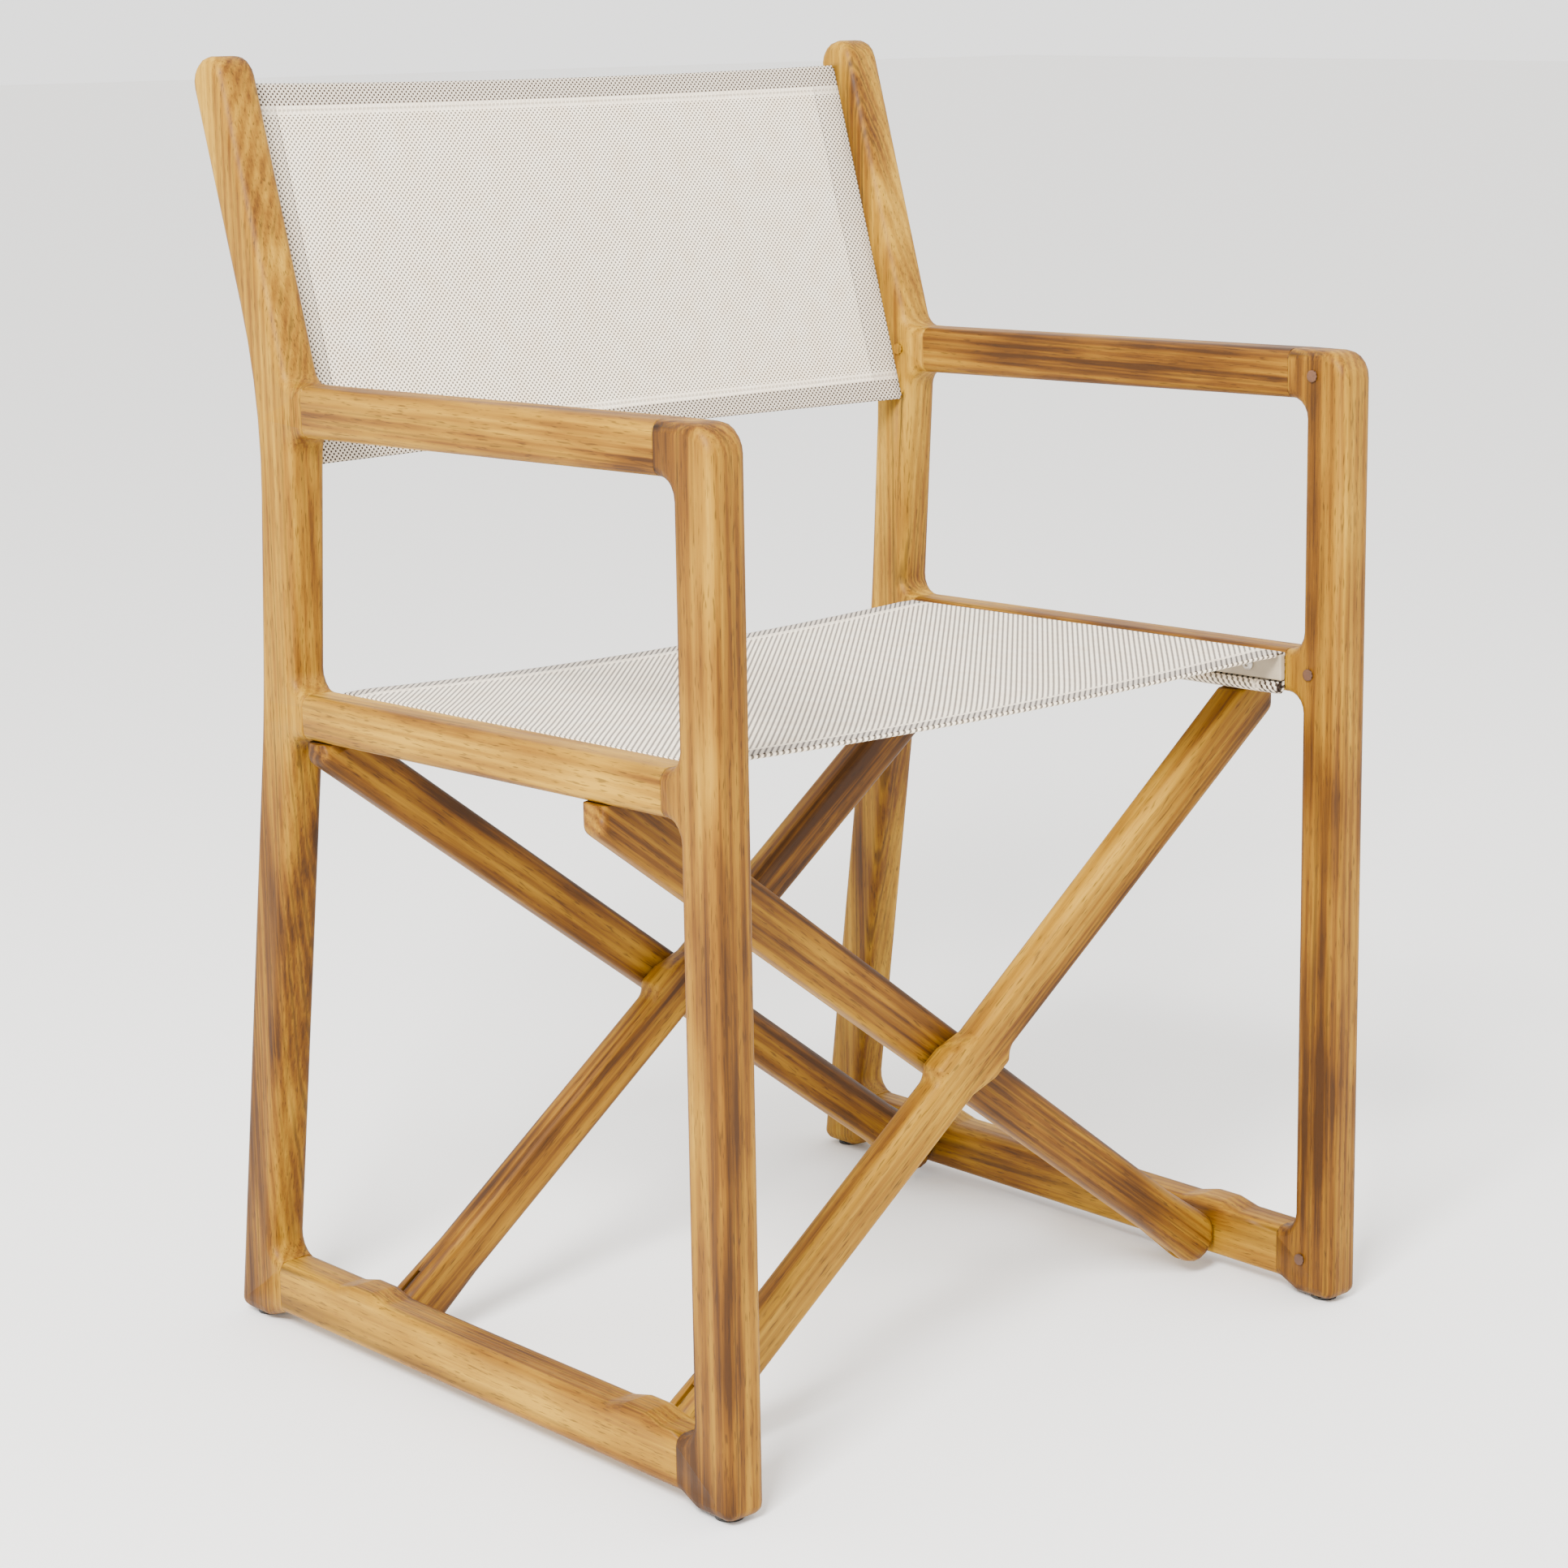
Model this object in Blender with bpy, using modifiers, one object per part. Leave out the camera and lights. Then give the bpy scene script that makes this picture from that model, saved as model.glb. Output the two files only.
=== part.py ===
"""Folding director chair: two teak side frames, a double X of teak bars, a fabric seat and a fabric back.

Metres, +Z up, the front of the chair faces -Y. The origin is on the floor under the middle.
The side frames stand in planes of constant X. The seat rails are fixed to the tops of the X bars,
rest between short stubs of the legs and posts, and rise with the bars when the chair folds.
"""

import math

import bmesh
import bpy
import numpy as np
from mathutils import Matrix, Vector

FRAME_X = 0.274  # middle plane of a side frame
HALF_T = 0.015  # half the thickness of the frame timber, along X
GLIDE_H = 0.003
GAP = 0.0003
ROUND = 0.007  # rounding of the long edges

LEG_FRONT, LEG_BACK = -0.2655, -0.2305
LEG_STUB = -0.2165  # where the front stubs end and the rails begin
ARM_Z, SEAT_Z, FOOT_Z = 0.6478, 0.4456, 0.0287  # rail centre heights at the front leg
ARM_SLOPE, SEAT_SLOPE = -0.0214, -0.0187
ARM_H, SEAT_H, FOOT_H = 0.0165, 0.015, 0.0185  # half heights of the rails
POST_PATH = ((0.2476, 0.003), (0.186, 0.4375), (0.172, 0.639), (0.2372, 0.8585))
POST_HALF = 0.0175
POST_STUBS = (0.2119, 0.1538, 0.1403)  # Y where the stubs for foot rail, seat rail and arm end

PIVOT_X, PIVOT_Z, CROSS_Z = 0.2403, 0.029, 0.212
BAR_HALF, BAR_T = 0.016, 0.022  # half width in the plane of the X, thickness along Y
FOOT_R = 0.0184  # the bars swell to this radius round their foot pivots
X_PLANES = {"front": -0.1605, "rear": 0.1303}

SLING_BAR = (0.005, 0.371, 0.018)
CLAMP_UP = 0.003  # the clamp bars sit this much above the rails' middle
SLING_Y = -0.0335  # middle of the seat rail's length
BACK_LOW, BACK_HIGH = 0.600, 0.847

for old in list(bpy.data.objects):
    bpy.data.objects.remove(old, do_unlink=True)

parts = bpy.data.collections.new("director_chair")
cutters = bpy.data.collections.new("cutters")
bpy.context.scene.collection.children.link(parts)
bpy.context.scene.collection.children.link(cutters)
SIDES = {"left": -1.0, "right": 1.0}


def material(name, colour, roughness, metallic=0.0):
    made = bpy.data.materials.new(name)
    made.use_nodes = True
    shader = made.node_tree.nodes["Principled BSDF"]
    shader.inputs["Base Color"].default_value = (*colour, 1.0)
    shader.inputs["Roughness"].default_value = roughness
    shader.inputs["Metallic"].default_value = metallic
    made.diffuse_color = (*colour, 1.0)
    return made


TEAK = ((0.62, 0.37, 0.15), 0.45)
STEEL = ((0.6, 0.6, 0.58), 0.35, 1.0)


def arm_z(y):
    return ARM_Z + ARM_SLOPE * (y + 0.248)


def seat_z(y):
    return SEAT_Z + SEAT_SLOPE * (y + 0.248)


def post_y(z):
    """Y of the back post's centre line at height z."""
    ys, zs = zip(*POST_PATH)
    return float(np.interp(z, zs, ys))


def rounded(corners, steps=5):
    """Outline through corners (u, v, radius), each corner with a radius replaced by its arc."""
    points = []
    count = len(corners)
    for i, (u, v, radius) in enumerate(corners):
        here = Vector((u, v))
        if radius == 0.0:
            points.append(here)
            continue
        before = (Vector(corners[i - 1][:2]) - here).normalized()
        after = (Vector(corners[(i + 1) % count][:2]) - here).normalized()
        angle = before.angle(after)
        reach = radius / math.tan(angle / 2.0)
        centre = here + (before + after).normalized() * (radius / math.sin(angle / 2.0))
        start = here + before * reach - centre
        end = here + after * reach - centre
        sweep = start.angle_signed(end)
        for k in range(steps + 1):
            turn = -sweep * k / steps
            spin = Matrix.Rotation(turn, 2)
            points.append(centre + spin @ start)
    return points


def mesh_object(name, mesh, matrix, look):
    mesh.materials.clear()
    mesh.materials.append(material(name + "_look", *look))
    mesh.shade_smooth()
    mesh.set_sharp_from_angle(angle=math.radians(35.0))
    made = bpy.data.objects.new(name, mesh)
    made.matrix_world = matrix
    parts.objects.link(made)
    return made


def plate(name, points, half, matrix, look, rim=0.0):
    """Closed outline in local XY, extruded by half each way along local Z, its rims rounded by rim."""
    curve = bpy.data.curves.new(name + "_outline", "CURVE")
    curve.dimensions = "2D"
    curve.fill_mode = "BOTH"
    curve.extrude = half - rim
    curve.bevel_depth = rim
    curve.bevel_resolution = 2
    curve.offset = -rim
    spline = curve.splines.new("POLY")
    spline.points.add(len(points) - 1)
    for slot, point in zip(spline.points, points):
        slot.co = (point[0], point[1], 0.0, 1.0)
    spline.use_cyclic_u = True
    shape = bpy.data.objects.new(name + "_outline", curve)
    parts.objects.link(shape)
    bpy.context.view_layer.update()
    mesh = bpy.data.meshes.new_from_object(shape.evaluated_get(bpy.context.evaluated_depsgraph_get()))
    bpy.data.objects.remove(shape, do_unlink=True)
    mesh.name = name
    work = bmesh.new()
    work.from_mesh(mesh)
    bmesh.ops.remove_doubles(work, verts=work.verts, dist=0.00002)
    bmesh.ops.recalc_face_normals(work, faces=work.faces)
    work.to_mesh(mesh)
    work.free()
    return mesh_object(name, mesh, matrix, look)


def cylinder_mesh(name, radius, length, axis, sides=20, tip=1.0):
    """Cylinder about its middle, along axis; tip scales the radius of its far end."""
    mesh = bpy.data.meshes.new(name)
    work = bmesh.new()
    bmesh.ops.create_cone(work, cap_ends=True, segments=sides, radius1=radius,
                          radius2=radius * tip, depth=length)
    turn = Vector((0.0, 0.0, 1.0)).rotation_difference(Vector(axis)).to_matrix()
    bmesh.ops.rotate(work, cent=(0.0, 0.0, 0.0), matrix=turn, verts=work.verts)
    work.to_mesh(mesh)
    work.free()
    return mesh


def cylinder(name, place, radius, length, axis, look, sides=20, tip=1.0):
    mesh = cylinder_mesh(name, radius, length, axis, sides, tip)
    return mesh_object(name, mesh, Matrix.Translation(place), look)


def box_mesh(name, size):
    mesh = bpy.data.meshes.new(name)
    work = bmesh.new()
    bmesh.ops.create_cube(work, size=1.0)
    bmesh.ops.scale(work, vec=size, verts=work.verts)
    work.to_mesh(mesh)
    work.free()
    return mesh


def cut(target, mesh, matrix):
    """Takes the cutter's shape away from the target."""
    tool = bpy.data.objects.new(target.name + "_cut", mesh)
    tool.matrix_world = matrix
    tool.hide_render = True
    tool.display_type = "WIRE"
    cutters.objects.link(tool)
    change = target.modifiers.new("cut", "BOOLEAN")
    change.operation = "DIFFERENCE"
    change.object = tool
    change.solver = "EXACT"


def cut_box(target, low, high):
    low, high = Vector(low), Vector(high)
    cut(target, box_mesh("cutter", high - low), Matrix.Translation((low + high) / 2.0))


def parent_all(names, place, pivot_name):
    """Hangs the named objects on an empty that stands on their joint's axis."""
    pivot = bpy.data.objects.new(pivot_name, None)
    pivot.location = place
    parts.objects.link(pivot)
    for name in names:
        piece = bpy.data.objects[name]
        piece.parent = pivot
        piece.matrix_parent_inverse = Matrix.Translation(-Vector(place))


YZ = Matrix(((0, 0, 1, 0), (1, 0, 0, 0), (0, 1, 0, 0), (0, 0, 0, 1)))  # local XY -> world YZ
XZ = Matrix(((1, 0, 0, 0), (0, 0, -1, 0), (0, 1, 0, 0), (0, 0, 0, 1)))  # local XY -> world XZ
OVER = 0.02  # how far a stub's outline runs past its end before it is cut off flat
FILLET = 0.013


def stub(edge, end, middle, half):
    """Corners of one stub that leaves a vertical edge, listed upwards."""
    side = 1.0 if end > edge(middle) else -1.0
    tip = end + side * OVER
    low, high = middle - half, middle + half
    return [(edge(low), low, FILLET), (tip, low, 0.0075), (tip, high, 0.0075), (edge(high), high, FILLET)]


# Front legs: upright, with a stub for each rail; the arm's stub runs round into the leg's top.
leg_outline = [
    (LEG_FRONT, GLIDE_H, 0.0075),
    (LEG_BACK - 0.002, GLIDE_H, 0.0075),
    (LEG_STUB - 0.001, FOOT_Z - FOOT_H, 0.010),
    (LEG_STUB + OVER, FOOT_Z - FOOT_H, 0.0075),
    (LEG_STUB + OVER, FOOT_Z + FOOT_H, 0.0075),
    (LEG_BACK, FOOT_Z + FOOT_H, FILLET),
]
seat_front, arm_front = seat_z(LEG_STUB), arm_z(LEG_STUB)
leg_outline += stub(lambda z: LEG_BACK, LEG_STUB, seat_front, SEAT_H)
leg_outline += [
    (LEG_BACK, arm_front - ARM_H, FILLET),
    (LEG_STUB + OVER, arm_front - ARM_H, 0.0075),
    (LEG_STUB + OVER, arm_front + ARM_H, 0.0075),
    (LEG_FRONT, arm_front + ARM_H + 0.0003, 0.018),
]

# Back posts: lean forward up to the arm and backward above it, with a domed top.


def post_edge(side):
    def at(z):
        slope = (post_y(z + 0.001) - post_y(z - 0.001)) / 0.002 if 0.01 < z < 0.85 else 0.0
        return post_y(z) + side * POST_HALF * math.sqrt(1.0 + slope * slope)
    return at


post_front, post_back = post_edge(-1.0), post_edge(1.0)
lean = math.atan2(POST_PATH[3][0] - POST_PATH[2][0], POST_PATH[3][1] - POST_PATH[2][1])
dome_centre = Vector(POST_PATH[-1]) - Vector((math.sin(lean), math.cos(lean))) * 0.012
dome = []
for angle_deg in range(0, 181, 20):
    angle = math.radians(angle_deg)
    across = POST_HALF * math.cos(angle)
    along = 0.0165 * math.sin(angle)
    dome.append((dome_centre.x + across * math.cos(lean) + along * math.sin(lean),
                 dome_centre.y - across * math.sin(lean) + along * math.cos(lean), 0.0))
post_outline = [(post_front(GLIDE_H) + 0.002, GLIDE_H, 0.0075), (post_back(GLIDE_H), GLIDE_H, 0.0075)]
post_outline += [(post_back(0.4375), 0.4375, 0.9), (post_back(0.639) + 0.001, 0.645, 0.35)]
post_outline += dome
post_stubs = zip(POST_STUBS, (FOOT_Z, seat_z(POST_STUBS[1]), arm_z(POST_STUBS[2])), (FOOT_H, SEAT_H, ARM_H))
front_side = []
for end, middle, half in post_stubs:
    front_side += stub(post_front, end, middle, half)
front_side[0] = (POST_STUBS[0] + 0.001, FOOT_Z - FOOT_H, 0.010)
post_outline += front_side[::-1]

for side, sign in SIDES.items():
    shift = Matrix.Translation((sign * FRAME_X, 0.0, 0.0)) @ YZ
    inner = FRAME_X - HALF_T
    leg = plate("front_leg_" + side, rounded(leg_outline), HALF_T, shift, TEAK, ROUND)
    cut_box(leg, (sign * FRAME_X - 0.05, LEG_STUB, -0.05), (sign * FRAME_X + 0.05, LEG_STUB + 0.06, 0.8))
    post = plate("back_post_" + side, rounded(post_outline), HALF_T, shift, TEAK, ROUND)
    for end, middle in zip(POST_STUBS, (FOOT_Z, seat_z(0.15), arm_z(0.14))):
        cut_box(post, (sign * FRAME_X - 0.05, end - 0.06, middle - 0.03),
                (sign * FRAME_X + 0.05, end, middle + 0.03))
    # the slot that holds the back's edge opens on the inner face, parallel to the post
    slot_z = (BACK_LOW + BACK_HIGH) / 2.0
    slot_y = post_y(0.7235) + 0.004
    tilt = Matrix.Rotation(-lean, 4, "X")
    cut(post, box_mesh("cutter", (0.026, 0.0046, 0.250)),
        Matrix.Translation((sign * inner, slot_y, slot_z)) @ tilt)
    rod = cylinder("back_rod_" + side, (0, 0, 0), 0.0018, 0.240, (0, 0, 1), STEEL, 12)
    rod.matrix_world = Matrix.Translation((sign * (inner + 0.009), slot_y, slot_z)) @ tilt
    for name, low, height, slope, back in (
        ("armrest_", arm_z, ARM_H, ARM_SLOPE, POST_STUBS[2]),
        ("seat_rail_", seat_z, SEAT_H, SEAT_SLOPE, POST_STUBS[1]),
    ):
        # the ends lean with the slope, so the length leaves room for that at both stubs
        length = back - LEG_STUB - 2.0 * GAP - 2.0 * abs(slope) * height
        middle = (back + LEG_STUB) / 2.0
        corners = [(-HALF_T, -height, ROUND), (HALF_T, -height, ROUND),
                   (HALF_T, height, ROUND), (-HALF_T, height, ROUND)]
        place = Matrix.Translation((sign * FRAME_X, middle, low(middle)))
        place = place @ Matrix.Rotation(math.atan(slope), 4, "X") @ XZ
        plate(name + side, rounded(corners, 4), length / 2.0, place, TEAK)
    rail_outline = [(LEG_STUB - OVER, FOOT_Z - FOOT_H, 0.0), (POST_STUBS[0] + OVER, FOOT_Z - FOOT_H, 0.0),
                    (POST_STUBS[0] + OVER, FOOT_Z + FOOT_H, 0.0)]
    for middle in sorted(X_PLANES.values(), reverse=True):
        for offset, rise, radius in ((0.027, 0.0, 0.02), (0.010, 0.0042, 0.012), (-0.010, 0.0042, 0.012),
                                     (-0.027, 0.0, 0.02)):
            rail_outline.append((middle + sign * BAR_T / 2.0 + offset, FOOT_Z + FOOT_H + rise, radius))
    rail_outline.append((LEG_STUB - OVER, FOOT_Z + FOOT_H, 0.0))
    rail = plate("foot_rail_" + side, rounded(rail_outline), HALF_T, shift, TEAK, ROUND)
    for low, high in ((LEG_STUB - 0.06, LEG_STUB + GAP), (POST_STUBS[0] - GAP, POST_STUBS[0] + 0.06)):
        cut_box(rail, (sign * FRAME_X - 0.05, low, -0.05), (sign * FRAME_X + 0.05, high, 0.12))
    plug_x = sign * (inner - 0.0007 - GAP)
    for label, height in (("arm", arm_front), ("seat", seat_front), ("foot", FOOT_Z)):
        cylinder("leg_plug_" + label + "_" + side, (plug_x, -0.2385, height), 0.004, 0.0014,
                 (1, 0, 0), ((0.13, 0.07, 0.035), 0.55), 18)
    cylinder("post_plug_" + side, (plug_x, 0.166, arm_z(0.166)), 0.004, 0.0014,
             (1, 0, 0), ((0.72, 0.50, 0.28), 0.5), 18)
    for label, y in (("front", -0.248), ("rear", 0.2475)):
        cylinder("glide_" + label + "_" + side, (sign * FRAME_X, y, (GLIDE_H - GAP) / 2.0), 0.009,
                 GLIDE_H - GAP, (0, 0, 1), ((0.03, 0.03, 0.03), 0.6), 20)

# Bars of the two X frames: bar B rises to the right in front of bar A, which rises to the left.
slope_b = math.atan2(CROSS_Z - PIVOT_Z, PIVOT_X)
ALONG = Vector((math.cos(slope_b), math.sin(slope_b)))
ACROSS = Vector((-math.sin(slope_b), math.cos(slope_b)))
CENTRE = Vector((0.0, CROSS_Z))


def bar_point(u, v):
    return CENTRE + ALONG * u + ACROSS * v


def bar_outline(rail_low, shoulders):
    """Bar from its round foot at the left to its top under the right seat rail."""
    outer = FRAME_X + HALF_T
    foot = -(Vector((PIVOT_X, CROSS_Z - PIVOT_Z)).length)
    shoulder = ((-0.013, 0.0, 0.005), (0.008, 0.0065, 0.008), (0.0235, 0.0070, 0.005), (0.0300, 0.0, 0.009))
    t_low = CROSS_Z - BAR_HALF / math.cos(slope_b) + outer * math.tan(slope_b)
    t_high = (rail_low + 0.03 - CROSS_Z - BAR_HALF / math.cos(slope_b)) / math.tan(slope_b)
    ends = [(outer, t_low - 0.002, 0.009), (outer, rail_low + 0.03, 0.0)]
    if t_high < outer:
        ends.append((t_high, rail_low + 0.03, 0.0))
    swell = bar_point(foot + 0.045, BAR_HALF)
    points = [(swell.x, swell.y, 0.05)]
    for k in range(0, 11):
        angle = math.pi * (0.45 + 1.1 * k / 10.0)
        tip = bar_point(foot + FOOT_R * math.cos(angle), FOOT_R * math.sin(angle))
        points.append((tip.x, tip.y, 0.0))
    swell = bar_point(foot + 0.045, -BAR_HALF)
    points.append((swell.x, swell.y, 0.05))
    if shoulders:
        for u, v, radius in shoulder:
            here = bar_point(u, -BAR_HALF - v)
            points.append((here.x, here.y, radius))
    points += ends
    if shoulders:
        for u, v, radius in shoulder:
            here = bar_point(-u, BAR_HALF + v)
            points.append((here.x, here.y, radius))
    return rounded(points, 4)


for plane, plane_y in X_PLANES.items():
    for letter, sign, y in (("b", 1.0, plane_y - BAR_T / 2.0 - GAP / 2.0),
                            ("a", -1.0, plane_y + BAR_T / 2.0 + GAP / 2.0)):
        rail_low = seat_z(y + BAR_T / 2.0) - SEAT_H - GAP - 0.0001
        points = [(sign * p.x, p.y) for p in bar_outline(rail_low, letter == "b")]
        if sign < 0.0:
            points = points[::-1]
        bar = plate("bar_%s_%s" % (letter, plane), points, BAR_T / 2.0,
                    Matrix.Translation((0.0, y, 0.0)) @ XZ, TEAK, 0.0065)
        far = sign * 0.27
        cut_box(bar, (far - 0.08, y - 0.03, rail_low), (far + 0.08, y + 0.03, rail_low + 0.06))
        # inboard of the rail the top is cut a little lower, clear of the seat's hem
        near = sign * (FRAME_X - HALF_T - 0.0605)
        cut_box(bar, (near - 0.06, y - 0.03, rail_low - 0.0015), (near + 0.06, y + 0.03, rail_low + 0.06))
        foot_x = -sign * PIVOT_X
        # slot for the steel eye, bore for its pin, bore for the crossing pin
        cut_box(bar, (foot_x - 0.0195, y - 0.0017, PIVOT_Z - 0.024), (foot_x + 0.0195, y + 0.0017, PIVOT_Z + 0.024))
        cut(bar, cylinder_mesh("cutter", 0.0024, 0.0164, (0, 1, 0), 16), Matrix.Translation((foot_x, y, PIVOT_Z)))
        inward = 1.0 if letter == "b" else -1.0
        cut(bar, cylinder_mesh("cutter", 0.0034, 0.0320, (0, 1, 0), 16),
            Matrix.Translation((0.0, y + inward * BAR_T / 2.0, CROSS_Z)))
        cylinder("foot_pin_%s_%s" % (letter, plane), (foot_x, y, PIVOT_Z), 0.0020, 0.0156, (0, 1, 0), STEEL, 14)
        # the eye: a flat tongue from the foot rail, round at its end, with a hole for the pin
        reach = PIVOT_X - (FRAME_X - HALF_T) + 0.0
        eye = [(0.0065 * math.cos(a), 0.0065 * math.sin(a)) for a in np.linspace(-math.pi / 2, math.pi / 2, 9)]
        root = reach + GAP
        eye = [(root, 0.0065), (root, -0.0065)] + eye
        eye = [(-sign * -u, v) for u, v in eye]
        if sign < 0.0:
            eye = eye[::-1]
        tongue = plate("foot_eye_%s_%s" % (letter, plane), eye, 0.0014,
                       Matrix.Translation((foot_x, y, PIVOT_Z)) @ XZ, STEEL)
        cut(tongue, cylinder_mesh("cutter", 0.0024, 0.02, (0, 1, 0), 16), Matrix.Translation((foot_x, y, PIVOT_Z)))
    cylinder("cross_pin_" + plane, (0.0, plane_y, CROSS_Z), 0.0030, 0.0310, (0, 1, 0), STEEL, 16)

# Seat: a flat metal bar screwed to each seat rail clamps the fabric; a rod fills its hem below the bar.
seat_tilt = Matrix.Rotation(math.atan(SEAT_SLOPE), 4, "X")
for side, sign in SIDES.items():
    bar_x = sign * (FRAME_X - HALF_T - 0.0016 - SLING_BAR[0] / 2.0)
    here = Matrix.Translation((bar_x, SLING_Y, seat_z(SLING_Y) + CLAMP_UP)) @ seat_tilt
    clamp = mesh_object("seat_clamp_" + side, box_mesh("seat_clamp_" + side, SLING_BAR), here,
                        ((0.70, 0.66, 0.60), 0.45, 0.6))
    edge = clamp.modifiers.new("edge", "BEVEL")
    edge.width = 0.0012
    edge.segments = 2
    for n, offset in enumerate((-0.1565, 0.0, 0.1565)):
        head_x = bar_x - sign * (SLING_BAR[0] / 2.0 + 0.0011 + GAP)
        y = SLING_Y + offset
        cylinder("clamp_screw_%s_%d" % (side, n + 1), (head_x, y, seat_z(y) + CLAMP_UP), 0.0045, 0.0022,
                 (-sign, 0, 0), ((0.70, 0.66, 0.60), 0.4, 0.8), 16, 0.62)
    rod = cylinder("seat_rod_" + side, (0, 0, 0), 0.0034, 0.366, (0, 1, 0), ((0.10, 0.06, 0.03), 0.5), 12)
    rod.matrix_world = Matrix.Translation((bar_x - sign * 0.0008, SLING_Y, seat_z(SLING_Y) + CLAMP_UP - 0.0138)) @ seat_tilt

# The fabric seat hangs 7 mm lower in the middle; its solid stops just inside the clamp bars.
half_seat = FRAME_X - HALF_T - 0.0016 - SLING_BAR[0] - 0.0032
strip = [(half_seat * k / 8.0, -0.007 * (1.0 - (k / 8.0) ** 2)) for k in range(-8, 9)]
seat_points = [(u, v + 0.0105) for u, v in strip] + [(u, v + 0.0125) for u, v in strip[::-1]]
plate("seat_sling", seat_points, 0.1845, Matrix.Translation((0.0, SLING_Y, seat_z(SLING_Y))) @ seat_tilt @ XZ,
      ((0.80, 0.77, 0.71), 0.85))

# The fabric back runs between the posts' slots, parallel to the posts above the arms.
back_z = (BACK_LOW + BACK_HIGH) / 2.0
back = mesh_object("back_sling", box_mesh("back_sling", (2.0 * (FRAME_X - HALF_T) - 0.001, 0.0022, 0.2555)),
                   Matrix.Translation((0.0, post_y(back_z) + 0.004, back_z)) @ Matrix.Rotation(-lean, 4, "X"),
                   ((0.80, 0.77, 0.71), 0.85))

parent_all(["bar_b_front", "bar_b_rear", "seat_rail_right", "seat_clamp_right", "clamp_screw_right_1",
            "clamp_screw_right_2", "clamp_screw_right_3", "seat_rod_right", "foot_pin_b_front",
            "foot_pin_b_rear", "cross_pin_front", "cross_pin_rear"],
           (-PIVOT_X, 0.0, PIVOT_Z), "left_foot_axis")
parent_all(["bar_a_front", "bar_a_rear", "seat_rail_left", "seat_clamp_left", "clamp_screw_left_1",
            "clamp_screw_left_2", "clamp_screw_left_3", "seat_rod_left", "foot_pin_a_front",
            "foot_pin_a_rear", "seat_sling"],
           (0.0, 0.0, CROSS_Z), "scissor_axis")
parent_all([name + "right" for name in ("front_leg_", "back_post_", "armrest_", "foot_rail_", "back_rod_",
            "leg_plug_arm_", "leg_plug_seat_", "leg_plug_foot_", "post_plug_", "glide_front_", "glide_rear_")]
           + ["foot_eye_a_front", "foot_eye_a_rear"],
           (PIVOT_X, 0.0, PIVOT_Z), "right_foot_axis")
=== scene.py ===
# %% [markdown]
# A folding director chair in oiled teak, with an off-white woven seat and back. The wooden frame, its
# metal clamps and its pins come in as finished CAD pieces; this script gives them their surfaces,
# makes the cloth and the small turned pieces, and sets up a pale studio.

import math

import bpy
import numpy as np
from mathutils import Matrix, Vector


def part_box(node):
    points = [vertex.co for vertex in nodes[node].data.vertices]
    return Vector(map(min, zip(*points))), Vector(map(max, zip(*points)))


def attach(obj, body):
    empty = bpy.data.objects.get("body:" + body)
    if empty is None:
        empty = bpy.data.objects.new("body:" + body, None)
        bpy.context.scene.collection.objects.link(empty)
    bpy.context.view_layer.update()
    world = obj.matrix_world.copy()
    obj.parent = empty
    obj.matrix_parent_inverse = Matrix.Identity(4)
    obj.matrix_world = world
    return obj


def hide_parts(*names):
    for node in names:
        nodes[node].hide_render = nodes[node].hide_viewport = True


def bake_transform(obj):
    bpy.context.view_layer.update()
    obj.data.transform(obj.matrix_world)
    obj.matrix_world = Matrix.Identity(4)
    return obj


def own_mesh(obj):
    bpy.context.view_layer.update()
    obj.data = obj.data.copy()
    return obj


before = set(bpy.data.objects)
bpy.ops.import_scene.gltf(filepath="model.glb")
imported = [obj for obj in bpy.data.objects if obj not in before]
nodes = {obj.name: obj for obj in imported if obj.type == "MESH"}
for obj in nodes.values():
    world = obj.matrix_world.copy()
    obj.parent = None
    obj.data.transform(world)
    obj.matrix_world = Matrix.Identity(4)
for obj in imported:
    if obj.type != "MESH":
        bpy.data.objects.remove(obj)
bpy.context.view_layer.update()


# %% [markdown]
# Colours are given as sRGB hex values, as on a paint card, and shaders want linear light, so one
# function turns the first into the second. A second small function adds any shader node with its
# settings and links, which keeps each material below short enough to read.

# %% Colours and shader nodes
def linear(hex_colour):
    """Each channel c is c / 12.92 when dark and ((c + 0.055) / 1.055) ** 2.4 when bright."""
    raw = hex_colour.lstrip("#")
    srgb = np.array([int(raw[i:i + 2], 16) for i in (0, 2, 4)]) / 255.0
    light = np.where(srgb <= 0.04045, srgb / 12.92, ((srgb + 0.055) / 1.055) ** 2.4)
    return (*light.tolist(), 1.0)


def add(tree, kind, settings=None, stops=None, **inputs):
    """Adds a shader node; input names use _ for a space, and i0, i1 for numbered sockets."""
    made = tree.nodes.new("ShaderNode" + kind)
    for key, value in (settings or {}).items():
        setattr(made, key, value)
    for key, value in inputs.items():
        plain = int(key[1:]) if key[0] == "i" and key[1:].isdigit() else key.replace("_", " ")
        socket = made.inputs[plain]
        if isinstance(value, bpy.types.NodeSocket):
            tree.links.new(value, socket)
        else:
            socket.default_value = value
    for position, (place, colour) in enumerate(stops or []):
        ramp = made.color_ramp.elements
        stop = ramp[position] if position < 2 else ramp.new(place)
        stop.position = place
        stop.color = linear(colour)
    return made


def calculator(tree):
    """A function that adds one Math node to the tree and gives its result."""
    def maths(operation, *values):
        inputs = {"i%d" % k: value for k, value in enumerate(values)}
        return add(tree, "Math", {"operation": operation}, **inputs).outputs[0]

    return maths


def new_material(name):
    made = bpy.data.materials.new(name)
    made.use_nodes = True
    return made, made.node_tree, made.node_tree.nodes["Principled BSDF"]


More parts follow.
